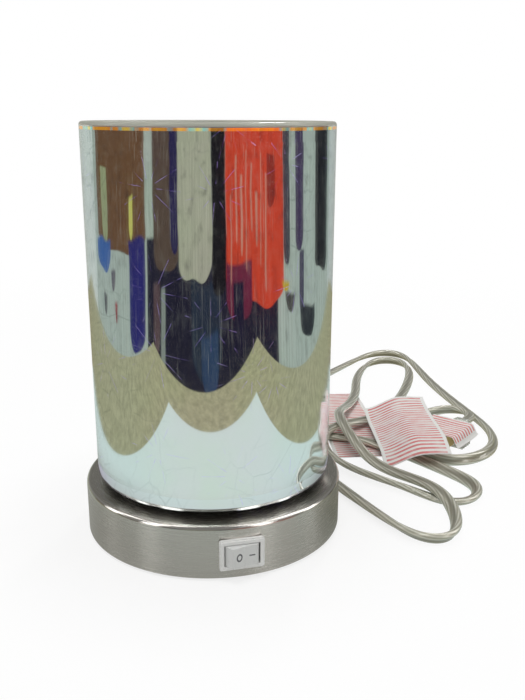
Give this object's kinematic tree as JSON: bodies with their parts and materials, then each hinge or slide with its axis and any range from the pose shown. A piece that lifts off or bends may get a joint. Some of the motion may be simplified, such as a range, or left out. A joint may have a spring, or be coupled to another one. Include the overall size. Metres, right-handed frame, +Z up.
{
  "type": "table lamp",
  "caption": "Table lamp with an open mirror-coated glass cylinder on a low round brushed-metal base, rocker switch, screw-in bulb and loose clear cord with plug.",
  "frame": {"origin": "on the table, under the middle of the base", "axes": "+Z up along the glass cylinder, -Y towards the switch, +Y towards the cord outlet"},
  "size_m": [0.2817, 0.3262, 0.202],
  "materials": {
    "brushed_nickel": "brushed",
    "black_plate": "matte",
    "zinc_steel": "satin",
    "foot_rubber": "matte",
    "mirror_glass": "polished",
    "holder_black": "matte",
    "contact_brass": "polished",
    "cap_metal": "satin",
    "cap_insulator": "gloss",
    "bulb_clear": "clear",
    "light_stick": "matte",
    "switch_white": "gloss",
    "spring_steel": "satin",
    "lead_black": "matte",
    "lead_white": "matte",
    "cord_clear": "clear gloss",
    "tag_paper": "matte"
  },
  "bodies": {
    "lamp": {"base_shell": "brushed_nickel", "bottom_cover": "black_plate", "cover_posts": "zinc_steel", "cover_screws": "zinc_steel", "rubber_feet": "foot_rubber", "glass_seat": "foot_rubber", "glass_shade": "mirror_glass", "clamp_ring": "holder_black", "holder_body": "holder_black", "holder_shell": "contact_brass", "holder_contact": "contact_brass", "threaded_stem": "zinc_steel", "stem_nuts": "zinc_steel", "stem_washer": "zinc_steel", "switch_housing": "switch_white", "switch_terminals": "contact_brass", "cord_lead": "lead_black", "switched_lead": "lead_black", "neutral_lead": "lead_white", "cord_bushing": "cord_clear", "strain_relief": "cord_clear", "power_cord": "cord_clear", "plug_body": "cord_clear", "plug_blades": "contact_brass", "plug_tag": "tag_paper", "cord_tag": "tag_paper", "flat_tag": "tag_paper"},
    "rocker": {"switch_rocker": "switch_white", "switch_plunger": "switch_white", "switch_spring": "spring_steel"},
    "contact_arm": {"switch_arm": "contact_brass"},
    "bulb_tip": {"bulb_contact": "cap_metal"},
    "bulb": {"bulb_cap": "cap_metal", "bulb_insulator": "cap_insulator", "bulb_glass": "bulb_clear", "bulb_mount": "bulb_clear", "bulb_filaments": "light_stick"}
  },
  "joints": [
    {"name": "rocker_swing", "type": "hinge", "parent": "lamp", "child": "rocker", "pos_m": [0, -0.0645, 0.0132], "axis": [0, 0, -1], "range_deg": [0, 25]},
    {"name": "arm_tilt", "type": "hinge", "parent": "lamp", "child": "contact_arm", "pos_m": [0, -0.05684, 0.0132], "axis": [0, 0, 1], "range_deg": [0, 12]},
    {"name": "bulb_lift", "type": "slide", "parent": "lamp", "child": "bulb_tip", "axis": [0, 0, 1], "range_m": [0, 0.0109]},
    {"name": "bulb_turn", "type": "hinge", "parent": "bulb_tip", "child": "bulb", "pos_m": [0, 0, 0.0483], "axis": [0, 0, 1], "range_deg": [0, 1080]}
  ],
  "couplings": [
    {"joint": "arm_tilt", "follows": "rocker_swing", "ratio": 0.48},
    {"joint": "bulb_lift", "follows": "bulb_turn", "m_per_rad": 0.00057296}
  ]
}
